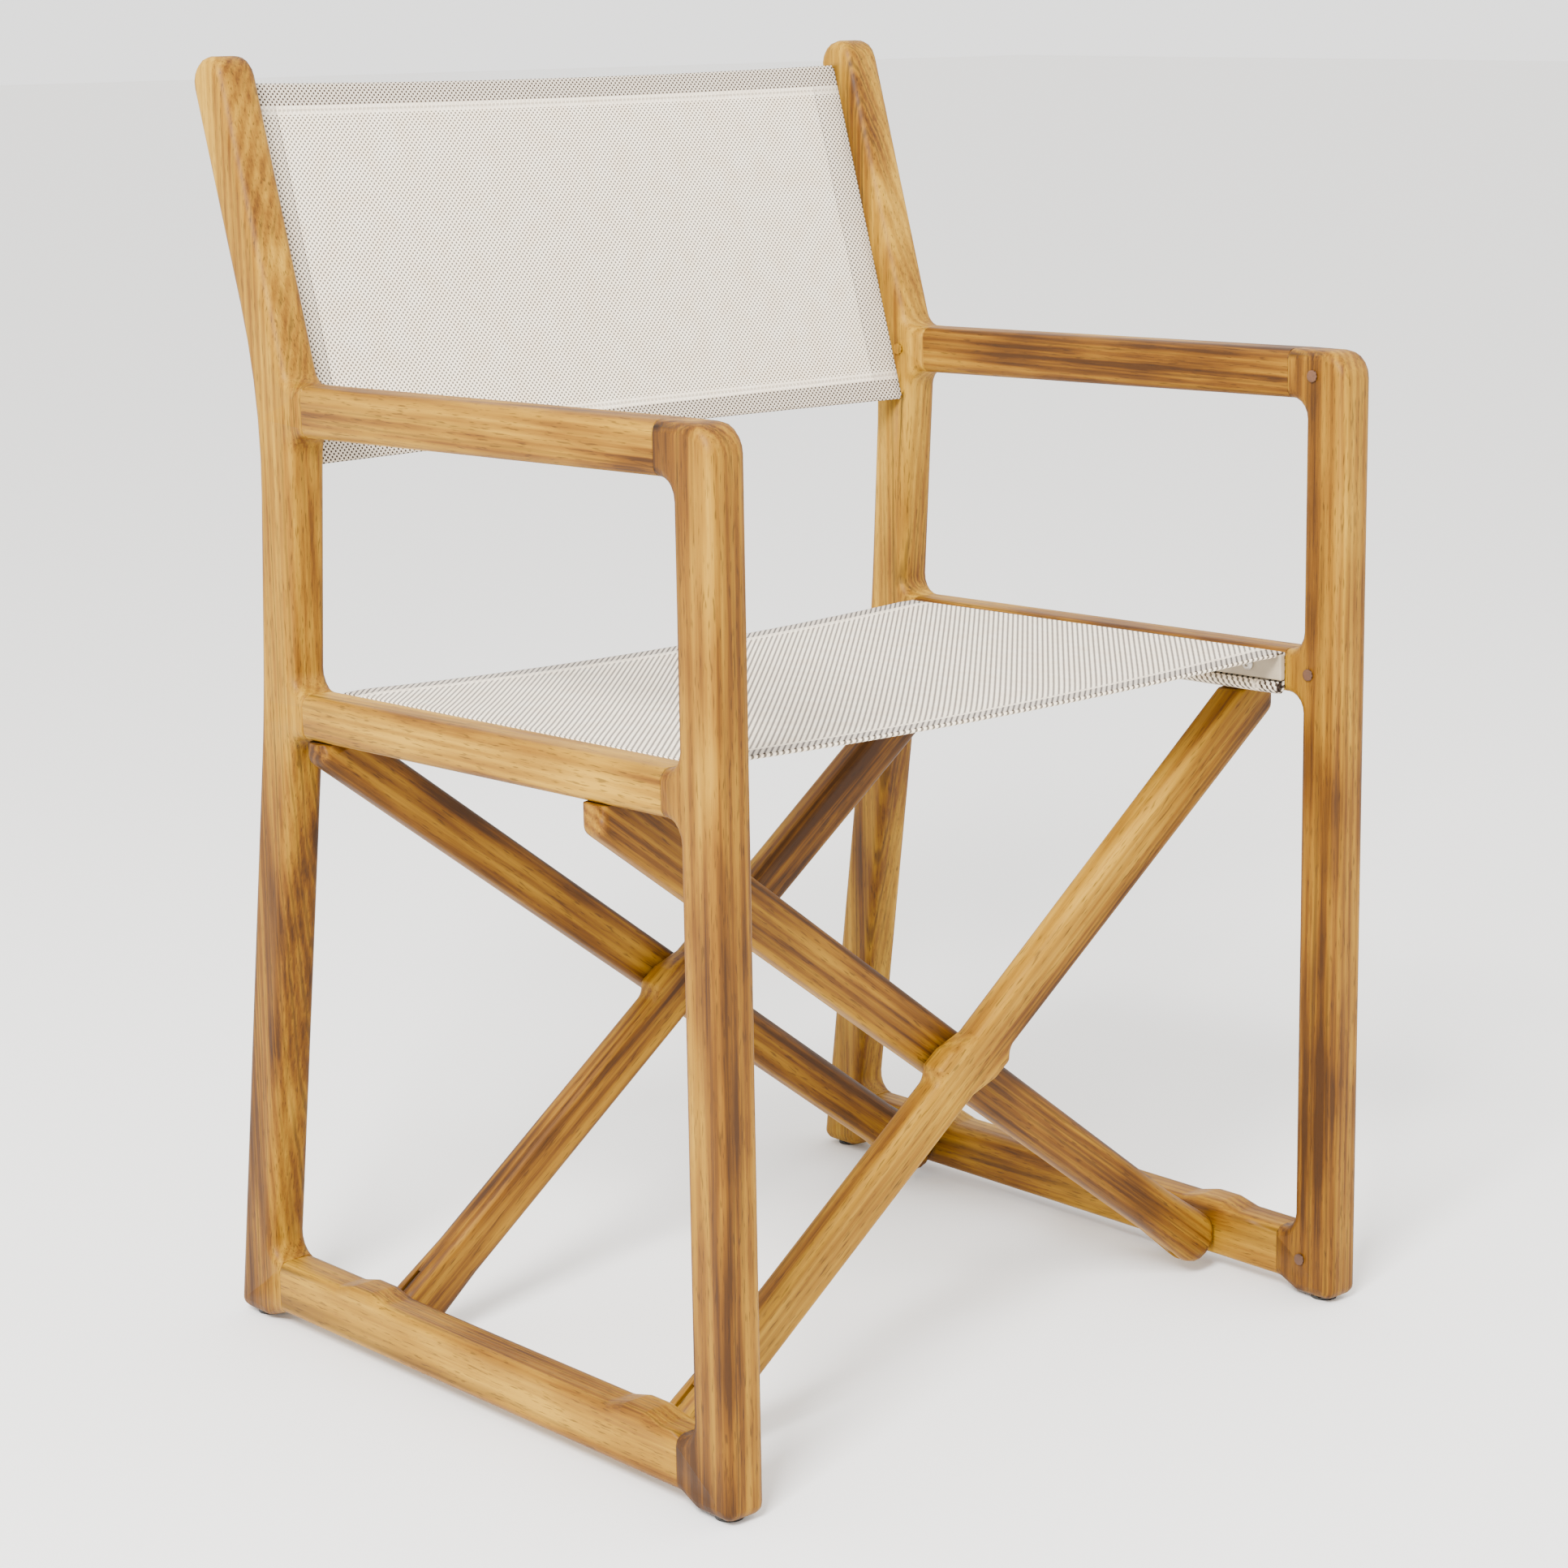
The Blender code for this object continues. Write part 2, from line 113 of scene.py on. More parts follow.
# %% [markdown]
# Oiled teak is golden brown with darker, smoky streaks that run along each board, a fine silky fibre
# and short dark pores. Each board is cut from its own place in a log, so each piece gets its own
# material with the same recipe: the pattern's long axis is turned along the board, and its start is
# shifted. The boards on the right and at the rear are also darkened as a whole, which is painted
# shade. Broad noise 25 mm wide and half a metre long gives the smoky streaks, faint growth rings
# about 5 mm apart wander through it, fibres are noise stretched along the grain, and pores are a
# finer noise, cut off so that only its peaks show.

# %% Oiled teak
SLOPE = math.atan2(0.212 - 0.029, 0.2403)  # slope of the crossed bars


def oiled_teak(name, turn, seed, painted_shade=0.0):
    """Teak with its grain along Z after the turn; seed moves the board through the log, painted_shade darkens
    the whole board as painted shade.
    """
    made, tree, shader = new_material("oiled_teak_" + name)
    rng = np.random.default_rng(seed)

    maths = calculator(tree)

    def noise(vector, scale, detail=3.0, roughness=0.55):
        made_noise = add(tree, "TexNoise", Vector=vector, Scale=scale, Detail=detail, Roughness=roughness)
        return made_noise.outputs["Fac"]

    place = add(tree, "TexCoord").outputs["Object"]
    shift = (rng.uniform(-0.05, 0.05), rng.uniform(0.04, 0.11), rng.uniform(-3.0, 3.0))
    board = add(tree, "Mapping", Vector=place, Rotation=turn, Location=shift).outputs["Vector"]
    long = add(tree, "Mapping", Vector=board, Scale=(1.0, 1.0, 0.05)).outputs["Vector"]
    fine = add(tree, "Mapping", Vector=board, Scale=(1.0, 1.0, 0.022)).outputs["Vector"]
    dashes = add(tree, "Mapping", Vector=board, Scale=(1.0, 1.0, 0.09)).outputs["Vector"]
    rings = add(tree, "TexWave", {"wave_type": "RINGS", "rings_direction": "Z"}, Vector=long,
                Scale=52.0, Distortion=7.5, Detail=4.0, Detail_Scale=0.35, Detail_Roughness=0.7)
    smoky = noise(long, 42.0, 3.0, 0.5)
    patch = noise(add(tree, "Mapping", Vector=board, Scale=(1.0, 1.0, 0.30)).outputs["Vector"], 26.0, 2.0)
    fibre = noise(fine, 520.0, 4.0, 0.7)
    pores = noise(dashes, 900.0, 1.0)
    # The extra darkening given for right-hand and rear boards lowers the whole tone here: painted shade.
    tone = maths("MULTIPLY_ADD", rings.outputs["Fac"], 0.20, rng.uniform(-0.92, -0.78) - painted_shade)
    tone = maths("MULTIPLY_ADD", smoky, 1.15, tone)
    tone = maths("MULTIPLY_ADD", patch, 0.90, tone)
    tone = maths("MULTIPLY_ADD", fibre, 0.60, tone)
    wood = add(tree, "ValToRGB", stops=WOOD_STOPS, Fac=tone).outputs["Color"]
    dark = add(tree, "MapRange", Value=pores, From_Min=0.60, From_Max=0.70, To_Max=0.55).outputs[0]
    late = add(tree, "MapRange", Value=rings.outputs["Fac"], From_Min=0.78, From_Max=0.98).outputs[0]
    heart = add(tree, "MapRange", Value=smoky, From_Min=0.56, From_Max=0.40, To_Max=0.6).outputs[0]
    veined = add(tree, "Mix", {"data_type": "RGBA"}, Factor=maths("MULTIPLY", late, heart), i6=wood,
                 i7=linear("#311B06")).outputs[2]
    mixed = add(tree, "Mix", {"data_type": "RGBA"}, Factor=dark, i6=veined, i7=linear("#2C1906"))
    tree.links.new(mixed.outputs[2], shader.inputs["Base Color"])
    gloss = add(tree, "MapRange", Value=fibre, From_Min=0.3, From_Max=0.7, To_Min=0.46, To_Max=0.62)
    tree.links.new(gloss.outputs[0], shader.inputs["Roughness"])
    bump = add(tree, "Bump", Strength=0.3, Distance=0.0002, Height=maths("SUBTRACT", fibre, dark))
    tree.links.new(bump.outputs[0], shader.inputs["Normal"])
    shader.inputs["IOR"].default_value = 1.5
    shader.inputs["Specular IOR Level"].default_value = 0.18
    return made


# The darkest and the lightest tone come first, because a new ramp already has its two ends.
WOOD_STOPS = [(0.12, "#3A2004"), (0.92, "#AC8222"), (0.30, "#5F3905"), (0.46, "#7B5209"), (0.66, "#916811")]
UPRIGHT = (0.0, 0.0, 0.0)
FRONT_TO_BACK = (math.pi / 2.0, 0.0, 0.0)
grain = {"front_leg": UPRIGHT, "back_post": UPRIGHT, "armrest": FRONT_TO_BACK, "foot_rail": FRONT_TO_BACK,
         "seat_rail": FRONT_TO_BACK, "bar_b": (0.0, SLOPE - math.pi / 2.0, 0.0),
         "bar_a": (0.0, math.pi / 2.0 - SLOPE, 0.0), "post_plug": UPRIGHT}
# Painted shade: the right-hand and rear boards, away from the key light, are made darker by these amounts.
PAINTED_SHADE_BOARDS = {"front_leg_right": 0.22, "armrest_right": 0.20, "front_leg_left": 0.13, "bar_a_rear": 0.25,
                 "bar_b_rear": 0.20, "bar_a_front": 0.12, "bar_b_front": 0.05, "foot_rail_right": 0.10}


# %% [markdown]
# The CAD pieces arrive as loose triangles. Welding the corners and weighting each normal by the size
# of the faces around it lets the rounded edges shade softly while the flats stay flat, as sanded
# timber does, without touching the pieces' shape.

# %% Dress the timber
def dress(node_name, surface):
    """Gives a CAD piece its surface, with smooth shading over welded corners."""
    piece = nodes[node_name]
    piece.data.materials.clear()
    piece.data.materials.append(surface)
    piece.data.shade_smooth()
    weld = piece.modifiers.new("weld", "WELD")
    weld.merge_threshold = 0.00001
    normals = piece.modifiers.new("normals", "WEIGHTED_NORMAL")
    normals.keep_sharp = True
    normals.weight = 90
    return piece


for count, name in enumerate(sorted(nodes)):
    for start, turn in grain.items():
        if name.startswith(start):
            dress(name, oiled_teak(name, turn, count + 11, PAINTED_SHADE_BOARDS.get(name, 0.0)))
print("timber pieces dressed")


# %% [markdown]
# The small hard parts: dark round plugs hide the screws inside the legs, warm grey powder coat covers
# the clamp bars of the seat, plain steel makes the pins and the eyes of the feet, and the glides are
# black nylon. Powder coat has a faint orange-peel relief 1.5 mm across; steel has a finer one, 0.6 mm across.

# %% Plugs, powder coat, steel and nylon
def hard_surface(name, colour, second, roughness, metallic, grit, relief):
    """A solid finish whose colour drifts to a second one, with a fine relief of the given grit in mm."""
    made, tree, shader = new_material(name)
    place = add(tree, "TexCoord").outputs["Object"]
    drift = add(tree, "TexNoise", Vector=place, Scale=60.0, Detail=3.0)
    tint = add(tree, "ValToRGB", stops=[(0.35, colour), (0.68, second)], Fac=drift.outputs["Fac"])
    tree.links.new(tint.outputs["Color"], shader.inputs["Base Color"])
    grains = add(tree, "TexNoise", Vector=place, Scale=1000.0 / grit, Detail=2.0)
    bump = add(tree, "Bump", Strength=relief, Distance=0.0002, Height=grains.outputs["Fac"])
    tree.links.new(bump.outputs[0], shader.inputs["Normal"])
    span = add(tree, "MapRange", Value=grains.outputs["Fac"], To_Min=roughness - 0.06, To_Max=roughness + 0.06)
    tree.links.new(span.outputs[0], shader.inputs["Roughness"])
    shader.inputs["Metallic"].default_value = metallic
    return made


dark_plug = hard_surface("stained_wood_plug", "#3E2514", "#5A3820", 0.55, 0.0, 0.8, 0.3)
powder_coat = hard_surface("warm_grey_powder_coat", "#978971", "#A69881", 0.42, 0.0, 1.5, 0.35)
screw_metal = hard_surface("coated_screw_head", "#BDB6AC", "#CCC5BB", 0.32, 0.5, 1.5, 0.15)
steel = hard_surface("plain_steel", "#8F8D88", "#A5A39E", 0.32, 1.0, 0.6, 0.2)
hem_cord = hard_surface("dark_hem_rod", "#33231A", "#4A3325", 0.5, 0.0, 1.0, 0.3)
nylon = hard_surface("black_nylon_glide", "#1D1C1B", "#2A2826", 0.5, 0.0, 1.2, 0.3)
for name in sorted(nodes):
    if name.startswith("leg_plug"):
        dress(name, dark_plug)
    if name.startswith("seat_clamp"):
        dress(name, powder_coat)
    if name.startswith(("foot_pin", "foot_eye", "cross_pin", "back_rod")):
        dress(name, steel)
    if name.startswith("seat_rod"):
        dress(name, hem_cord)
    if name.startswith("glide"):
        dress(name, nylon)


# %% [markdown]
# The cloth is a coarse open mesh: off-white threads with small taupe dots in staggered rows, where the
# darker weft passes over. The pattern follows the cloth through its UV map, which holds metres. Two
# sine waves multiplied give the staggered dots, and two rectified ones the round backs of the threads.
# In the seat the dots join along one diagonal into ribs, which a third wave brings out.
# Doubled cloth looks denser, so the turned hems show more of the taupe, with a plain sewn strip
# beside them and a dashed line of lock stitch in it.

# %% Woven sling cloth
STRIP = 0.006  # width of the sewn strip beside a hem
STITCH = 0.0034


def sling_cloth(name, half_width, half_length, side_band, end_band, pitch=0.0036, rib=0.0):
    """Weave with a dot every pitch; bands are widths of doubled cloth, rib the strength of diagonal lines."""
    made, tree, shader = new_material(name)
    uv = add(tree, "UVMap", {"uv_map": "metres"}).outputs["UV"]
    split = add(tree, "SeparateXYZ", Vector=uv)
    u, v = split.outputs["X"], split.outputs["Y"]

    maths = calculator(tree)

    def between(value, low, high, soft=0.0003):
        """1 where value lies between low and high, with soft edges."""
        rise = add(tree, "MapRange", Value=value, From_Min=low - soft, From_Max=low + soft).outputs[0]
        fall = add(tree, "MapRange", Value=value, From_Min=high - soft, From_Max=high + soft).outputs[0]
        return maths("SUBTRACT", rise, fall)

    wave_u = maths("SINE", maths("MULTIPLY", u, 2.0 * math.pi / pitch))
    wave_v = maths("SINE", maths("MULTIPLY", v, 2.0 * math.pi / pitch))
    ribs = maths("COSINE", maths("MULTIPLY", maths("SUBTRACT", u, v), 2.0 * math.pi / pitch))
    product = maths("MULTIPLY_ADD", ribs, rib, maths("MULTIPLY", wave_u, wave_v))
    dots = add(tree, "MapRange", {"interpolation_type": "SMOOTHSTEP"}, Value=product,
               From_Min=0.02, From_Max=0.42).outputs[0]
    backs = maths("MULTIPLY", maths("ABSOLUTE", wave_u), maths("ABSOLUTE", wave_v))
    from_end = maths("SUBTRACT", half_length, maths("ABSOLUTE", v))
    doubled = between(from_end, -1.0, end_band - STRIP)
    strip = between(from_end, end_band - STRIP, end_band)
    across_seam = maths("ABSOLUTE", maths("SUBTRACT", from_end, end_band - STRIP / 2.0))
    line = add(tree, "MapRange", Value=across_seam, From_Min=0.0005, From_Max=0.0011, To_Min=1.0,
               To_Max=0.0).outputs[0]
    dash = maths("SINE", maths("MULTIPLY", u, 2.0 * math.pi / STITCH))
    seam = maths("MULTIPLY", line, add(tree, "MapRange", Value=dash, From_Min=-0.5, From_Max=-0.2).outputs[0])
    if side_band:
        from_side = maths("SUBTRACT", half_width, maths("ABSOLUTE", u))
        doubled = maths("MAXIMUM", doubled, maths("MULTIPLY", between(from_side, -1.0, side_band), 0.55))
        side_line = between(from_side, side_band - 0.0007, side_band + 0.0007)
        doubled = maths("MAXIMUM", doubled, side_line)
    cloudy = add(tree, "TexNoise", Vector=uv, Scale=55.0, Detail=3.0).outputs["Fac"]
    ground = add(tree, "ValToRGB", stops=[(0.3, "#F8E6CB"), (0.7, "#FEF2DC")], Fac=cloudy).outputs["Color"]
    denser = add(tree, "Mix", {"data_type": "RGBA"}, Factor=maths("MULTIPLY", doubled, 0.8), i6=ground,
                 i7=linear("#BDB1A1")).outputs[2]
    strength = maths("MULTIPLY_ADD", doubled, 0.12, 0.88)
    strength = maths("SUBTRACT", strength, maths("MULTIPLY", strip, 0.55))
    woven = add(tree, "Mix", {"data_type": "RGBA"}, Factor=maths("MULTIPLY", dots, strength), i6=denser,
                i7=linear("#33261A")).outputs[2]
    sewn = add(tree, "Mix", {"data_type": "RGBA"}, Factor=maths("MULTIPLY", seam, 0.7), i6=woven,
               i7=linear("#A89B89")).outputs[2]
    tree.links.new(sewn, shader.inputs["Base Color"])
    relief = maths("SUBTRACT", maths("MULTIPLY", backs, 0.8), maths("MULTIPLY", seam, 1.2))
    bump = add(tree, "Bump", Strength=0.7, Distance=0.0005, Height=relief)
    tree.links.new(bump.outputs[0], shader.inputs["Normal"])
    shader.inputs["Roughness"].default_value = 0.85
    shader.inputs["Specular IOR Level"].default_value = 0.25
    shader.inputs["Sheen Weight"].default_value = 0.15
    return made


# %% [markdown]
# Every new piece is a grid of points worked out with numpy. One function joins the grid with quads,
# writes the UV map in metres and shades it smooth; grids that meet themselves are closed by wrapping
# the last column back to the first.

# %% Grid to mesh
def grid_mesh(name, points, uv=None, wrap=False):
    """points is rows x columns x 3; quads join each point with its right and upper neighbours."""
    rows, columns = points.shape[:2]
    index = np.arange(rows * columns).reshape(rows, columns)
    right = np.roll(index, -1, axis=1) if wrap else index[:, 1:]
    left = index if wrap else index[:, :-1]
    faces = np.stack([left[:-1], right[:-1], right[1:], left[1:]], axis=-1).reshape(-1, 4)
    mesh = bpy.data.meshes.new(name)
    mesh.from_pydata(points.reshape(-1, 3).tolist(), [], faces.tolist())
    if uv is not None:
        layer = mesh.uv_layers.new(name="metres")
        layer.data.foreach_set("uv", uv.reshape(-1, 2)[faces.ravel()].astype(np.float32).ravel())
    mesh.shade_smooth()
    made = bpy.data.objects.new(name, mesh)
    bpy.context.scene.collection.objects.link(made)
    return made


def lengths_along(path):
    """Distance from the first point of a path to each of its points."""
    steps = np.linalg.norm(np.diff(path, axis=0), axis=1)
    return np.concatenate([[0.0], np.cumsum(steps)])


def step_up(x):
    """Smooth 0 to 1 step: x * x * (3 - 2x) on the clipped value."""
    x = np.clip(x, 0.0, 1.0)
    return x * x * (3.0 - 2.0 * x)


# %% [markdown]
# The seat is one piece of cloth that spans the chair, turns over the top of each clamp bar, runs down
# between the bar and the wooden rail, and ends in a hem round a rod just below the bar. Its path
# across the chair is a list of straight and curved runs; the cloth is that path swept along the
# rails, which fall slightly towards the back. The free middle hangs 7 mm in a shallow curve, least
# at the front and rear hems, where the doubled cloth is stiffer.

# %% Seat
clamp_low, clamp_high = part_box("seat_clamp_right")
rod_low, rod_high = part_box("seat_rod_right")
SEAT_SLOPE = -0.0187
SEAT_MIDDLE_Y = (clamp_low.y + clamp_high.y) / 2.0
clamp_x = (clamp_low.x + clamp_high.x) / 2.0
clamp_z = (clamp_low.z + clamp_high.z) / 2.0
rod_x = (rod_low.x + rod_high.x) / 2.0
rod_z = (rod_low.z + rod_high.z) / 2.0
THICK = 0.0010


def turn_points(x, z, radius, start_deg, end_deg, count):
    """Points on an arc about (x, z), between two angles in degrees."""
    angle = np.radians(np.linspace(start_deg, end_deg, count))
    return np.stack([x + radius * np.cos(angle), z + radius * np.sin(angle)], axis=1)


lift = 0.0099  # half the clamp bar's height and most of the cloth's thickness
span = np.linspace(0.0, clamp_x - 0.0035, 60)
free = np.stack([span, np.full_like(span, lift + 0.0002)], axis=1)
over = turn_points(clamp_x - 0.0010, lift - 0.0010, 0.0013, 115, 100, 3)
corner = turn_points(clamp_x + 0.0017, lift - 0.0015, 0.0016, 80, 5, 8)
down = np.stack([np.full(9, clamp_x + 0.0033), np.linspace(0.005, rod_z - clamp_z + 0.004, 9)], axis=1)
wrap_round = turn_points(rod_x, rod_z - clamp_z, 0.0040, 12, -245, 30)
half_path = np.concatenate([free, over, corner, down, wrap_round])
path = np.concatenate([half_path[:0:-1] * (-1.0, 1.0), half_path])
across = lengths_along(path)
across -= across[-1] / 2.0
HALF_SEAT = 0.184
SEAT_PITCH = 0.0050  # the seat's weave is coarser than the back's
SEAT_RIB = 0.5
END_BAND = 0.0215
along = np.linspace(-HALF_SEAT, HALF_SEAT, 150)
S, T = np.meshgrid(across, along)
X = np.broadcast_to(path[:, 0], S.shape).copy()
Z = np.broadcast_to(path[:, 1], S.shape).copy()
on_span = np.abs(X) < clamp_x - 0.003
reach = np.abs(X) / (clamp_x - 0.003)
edge = np.abs(T) / HALF_SEAT
sag = 0.0066 * (1.0 - reach ** 2) * (0.80 + 0.20 * (1.0 - edge ** 4))
hem = 0.0005 * step_up((np.abs(T) - (HALF_SEAT - END_BAND)) / 0.002) * step_up((1.0 - reach) * 30.0)
ripple = 0.0005 * np.sin(T * 48.0 + 1.1 * np.sin(S * 9.0)) * reach ** 6 * step_up((1.0 - reach) * 12.0)
Z += np.where(on_span, -sag + hem + ripple, 0.0)
Y = SEAT_MIDDLE_Y + T + np.where(on_span, 0.0025 * (1.0 - reach ** 2) * np.sign(T) * -(edge ** 8), 0.0)
Z += clamp_z + SEAT_SLOPE * T
seat_points = np.stack([X, Y, Z], axis=-1)
seat = grid_mesh("seat_cloth", seat_points, np.stack([S, T], axis=-1))
seat_surface = sling_cloth("woven_seat_cloth", across[-1], HALF_SEAT, 0.0, END_BAND, SEAT_PITCH, SEAT_RIB)
seat.data.materials.append(seat_surface)
wall = seat.modifiers.new("cloth", "SOLIDIFY")
wall.thickness = THICK
wall.offset = 0.0


# %% [markdown]
# At the front and rear the seat is folded under by 20 mm and sewn. The folded layer is its own strip
# just below the seat, with a round nose that joins the two layers, which gives the thick soft edge
# seen from the front.

# %% Seat hems
def seat_hem(name, end):
    """The strip's section starts level with the seat, turns through half a circle and runs 20 mm back."""
    nose = np.linspace(-90.0, 90.0, 9)
    angle = np.radians(nose)
    turn_y = np.concatenate([[-0.0195, -0.010, -0.003], 0.0007 * np.cos(angle)])
    turn_z = np.concatenate([[-0.0018, -0.0018, -0.0018], -0.0009 + 0.0009 * np.sin(angle)])
    x = np.linspace(-(clamp_x - 0.0050), clamp_x - 0.0050, 90)
    share = np.abs(x) / (clamp_x - 0.003)
    X2, V = np.meshgrid(x, np.arange(len(turn_y)))
    drop = 0.0066 * (1.0 - share ** 2) * 0.80
    t = end * (HALF_SEAT - 0.0002 + turn_y)
    Y2 = SEAT_MIDDLE_Y + t[:, None] - end * 0.0025 * (1.0 - share[None, :] ** 2)
    Z2 = clamp_z + lift + 0.0006 - drop[None, :] + turn_z[:, None] + SEAT_SLOPE * t[:, None]
    Z2 = Z2 - 0.0009 * step_up(share[None, :] * 12.0 - 11.0)
    section = lengths_along(np.stack([turn_y, turn_z], axis=1))
    made = grid_mesh(name, np.stack([X2, Y2, Z2], axis=-1), np.stack([X2, section[V]], axis=-1))
    made.data.materials.append(plain_cloth)
    made.modifiers.new("cloth", "SOLIDIFY").thickness = 0.0006
    made.modifiers["cloth"].offset = 0.0
    return made, (2.0 * (clamp_x - 0.0050), float(section[-1]))


plain_cloth = sling_cloth("woven_hem_cloth", 1.0, 1.0, 0.0, STRIP, SEAT_PITCH, SEAT_RIB)
front_hem, HEM_FLAT = seat_hem("seat_hem_front", -1.0)
rear_hem, _ = seat_hem("seat_hem_rear", 1.0)
print("hem strips %.3f x %.3f m" % HEM_FLAT)


# %% [markdown]
# The back is a taut panel between the posts. Its side edges are doubled and run into a slot in each
# post, where a rod holds them, and its top and bottom are hemmed 17 mm deep. Tension draws the long
# edges in by 2 mm towards the middle, and the panel bows back by a few millimetres.

# %% Back
back_low, back_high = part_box("back_sling")
middle = (back_low + back_high) / 2.0
POST_TOP = (0.2372, 0.8585)  # y and z of the top and the bend on the post's middle line
POST_BEND = (0.172, 0.639)
LEAN = math.atan2(POST_TOP[0] - POST_BEND[0], POST_TOP[1] - POST_BEND[1])
HALF_HIGH = 0.1270
INTO_SLOT = 0.0042
HALF_WIDE = back_high.x + INTO_SLOT
u = np.linspace(-HALF_WIDE, HALF_WIDE, 190)
v = np.linspace(-HALF_HIGH, HALF_HIGH, 110)
U, V = np.meshgrid(u, v)
side = np.abs(U) / back_high.x
bow = 0.0035 * (1.0 - np.minimum(side, 1.0) ** 2)
draw = 0.0022 * (1.0 - np.minimum(side, 1.0) ** 2) * np.abs(V / HALF_HIGH) ** 6 * np.sign(V)
bands = 0.0005 * step_up((np.abs(V) - (HALF_HIGH - 0.0175)) / 0.0015)
bands = np.maximum(bands, 0.0006 * step_up((np.abs(U) - (back_high.x - 0.020)) / 0.0015))
bands = bands * step_up((back_high.x - np.abs(U)) / 0.003)
pull = 0.0006 * np.sin(V * 62.0) * np.clip(side, 0, 1) ** 8 * step_up((back_high.x - np.abs(U)) / 0.004)
away = bow - bands + pull
up = V - draw
back_y = middle.y + up * math.sin(LEAN) + away * math.cos(LEAN)
back_z = middle.z + up * math.cos(LEAN) - away * math.sin(LEAN)
back_points = np.stack([U, back_y, back_z], axis=-1)
back = grid_mesh("back_cloth", back_points, np.stack([U, V], axis=-1))
back.data.materials.append(sling_cloth("woven_back_cloth", back_high.x, HALF_HIGH, END_BAND, END_BAND))
back_wall = back.modifiers.new("cloth", "SOLIDIFY")
back_wall.thickness = 0.0012
back_wall.offset = 0.0


# %% [markdown]
# The clamp screws have low domed heads with a hexagon socket. A turned shape is a profile of radius
# and height swept round an axis; the socket's wall takes six sides by making the radius follow a
# hexagon there.

# %% Screw heads
def screw_head(name, node_name, toward):
    """Rings: rim, dome, lip, socket wall and floor; socket radius is r * cos(30) / cos(angle mod 60 - 30)."""
    low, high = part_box(node_name)
    centre = (low + high) / 2.0
    radius = (high.z - low.z) / 2.0
    thick = high.x - low.x
    angle = np.linspace(0.0, 2.0 * np.pi, 36, endpoint=False)
    six = math.cos(math.pi / 6.0) / np.cos((angle % (math.pi / 3.0)) - math.pi / 6.0)
    round_one = np.ones_like(angle)
    profile = [(0.02, 0.0, 0), (0.97, 0.0, 0), (1.0, 0.12, 0), (0.99, 0.34, 0), (0.90, 0.66, 0),
               (0.74, 0.88, 0), (0.60, 0.97, 0), (0.50, 0.99, 0), (0.44, 0.95, 1), (0.43, 0.40, 1),
               (0.02, 0.36, 1)]
    rings = np.array([[r * radius * (six if hexagon else round_one), np.full_like(angle, h * thick)]
                      for r, h, hexagon in profile])
    reach, height = rings[:, 0], rings[:, 1]
    flip = 1.0 if toward > 0 else -1.0
    points = np.stack([
        centre.x + toward * (height - thick / 2.0),
        centre.y + reach * np.cos(angle) * flip,
        centre.z + reach * np.sin(angle),
    ], axis=-1)
    made = grid_mesh(name, points, wrap=True)
    made.data.materials.append(screw_metal)
    made.data.set_sharp_from_angle(angle=math.radians(40.0))
    return made


for name in [n for n in sorted(nodes) if n.startswith("clamp_screw")]:
    toward = 1.0 if "left" in name else -1.0
    head = screw_head("domed_" + name, name, toward)
    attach(head, "scissor_a" if "left" in name else "scissor_b")
    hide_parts(name)
print("screw heads turned")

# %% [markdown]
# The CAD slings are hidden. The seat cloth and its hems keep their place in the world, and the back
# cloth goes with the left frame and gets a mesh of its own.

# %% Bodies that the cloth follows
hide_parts("seat_sling")
for piece in (seat, front_hem, rear_hem):
    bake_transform(piece)
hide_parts("back_sling")
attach(back, "left_frame")
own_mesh(back)

# %% [markdown]
# The studio is a pale floor that runs far back, an even pale surround, a large soft light from the
# upper left in front and a weaker one from the right, so shadows under the chair stay soft.

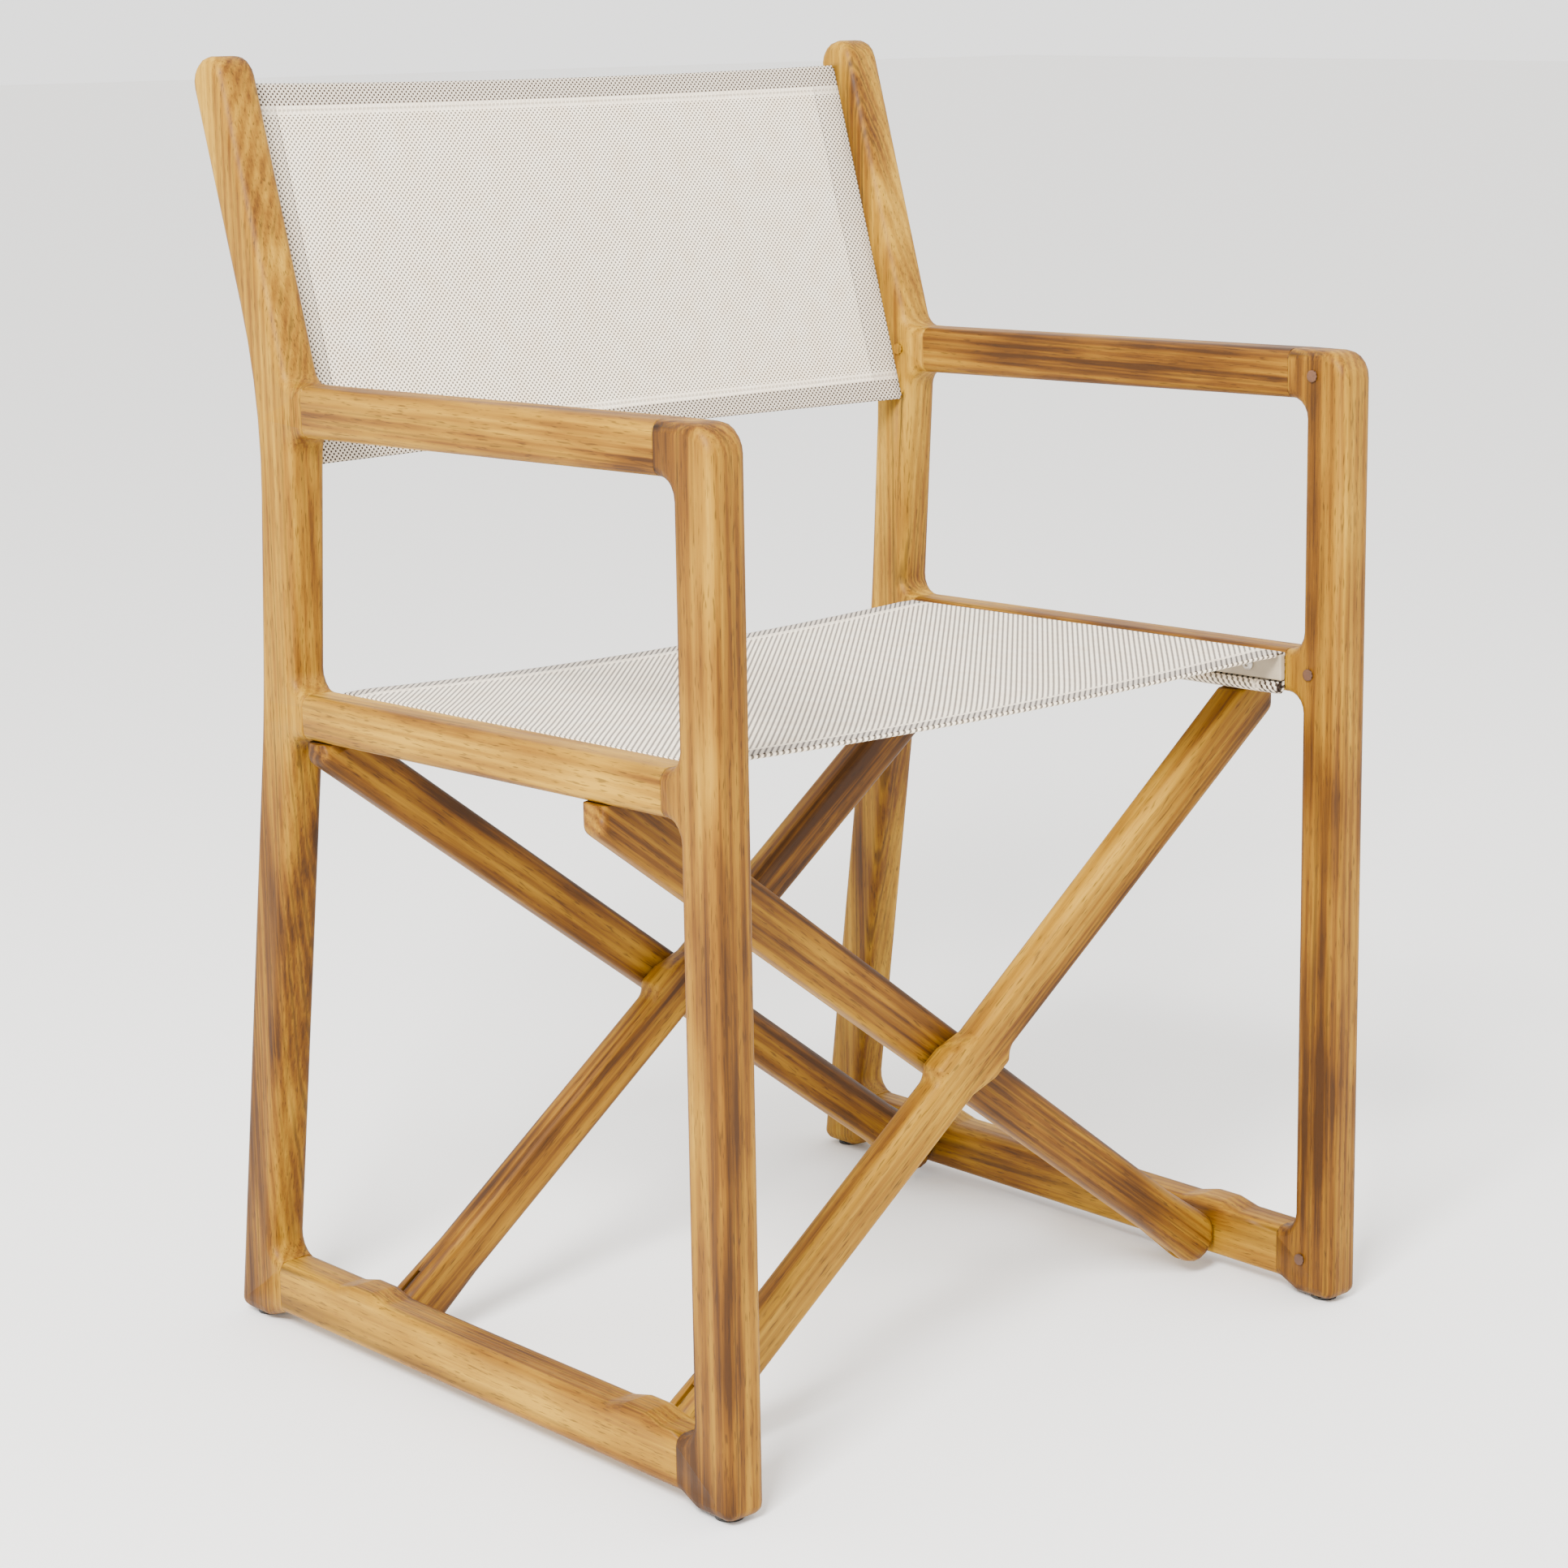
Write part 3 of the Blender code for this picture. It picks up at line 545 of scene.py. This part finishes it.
# %% Floor, lights and camera
floor_mesh = bpy.data.meshes.new("floor")
FAR = 30.0
corners = [(-FAR, -FAR, 0.0), (FAR, -FAR, 0.0), (FAR, FAR, 0.0), (-FAR, FAR, 0.0)]
floor_mesh.from_pydata(corners, [], [(0, 1, 2, 3)])
floor = bpy.data.objects.new("floor", floor_mesh)
bpy.context.scene.collection.objects.link(floor)
paper, paper_tree, paper_shader = new_material("pale_studio_paper")
paper_shader.inputs["Base Color"].default_value = linear("#F4F3F1")
paper_shader.inputs["Roughness"].default_value = 0.9
floor_mesh.materials.append(paper)

world = bpy.data.worlds.new("studio")
bpy.context.scene.world = world
world.use_nodes = True
world.node_tree.nodes["Background"].inputs["Color"].default_value = linear("#FBFAF8")
world.node_tree.nodes["Background"].inputs["Strength"].default_value = 2.15


def softbox(name, place, target, size, watts):
    """A square light of the given side in metres, turned towards the target."""
    lamp = bpy.data.lights.new(name, "AREA")
    lamp.shape = "SQUARE"
    lamp.size = size
    lamp.energy = watts
    made = bpy.data.objects.new(name, lamp)
    made.location = place
    made.rotation_euler = (Vector(target) - Vector(place)).to_track_quat("-Z", "Y").to_euler()
    bpy.context.scene.collection.objects.link(made)


MIDDLE = (0.0, 0.0, 0.4)
softbox("key", (-2.6, -1.6, 2.8), MIDDLE, 1.2, 370.0)
softbox("fill", (2.4, -1.2, 1.6), MIDDLE, 2.0, 18.0)

YAW, PITCH, ROLL = -0.7436, 0.2148, -0.0102
EYE = (-1.616, -1.852, 0.9085)
forward = Vector((-math.sin(YAW) * math.cos(PITCH), math.cos(YAW) * math.cos(PITCH), -math.sin(PITCH)))
level = Vector((math.cos(YAW), math.sin(YAW), 0.0))
above = level.cross(forward)
side_axis = level * math.cos(ROLL) + above * math.sin(ROLL)
up_axis = above * math.cos(ROLL) - level * math.sin(ROLL)
turned = Matrix((side_axis, up_axis, -forward)).transposed()
lens = bpy.data.cameras.new("camera")
lens.lens = 84.79
lens.sensor_width = 36.0
lens.shift_x = -0.064
camera = bpy.data.objects.new("camera", lens)
camera.matrix_world = Matrix.Translation(EYE) @ turned.to_4x4()
bpy.context.scene.collection.objects.link(camera)
bpy.context.scene.camera = camera

# %% Finish
bpy.context.view_layer.update()
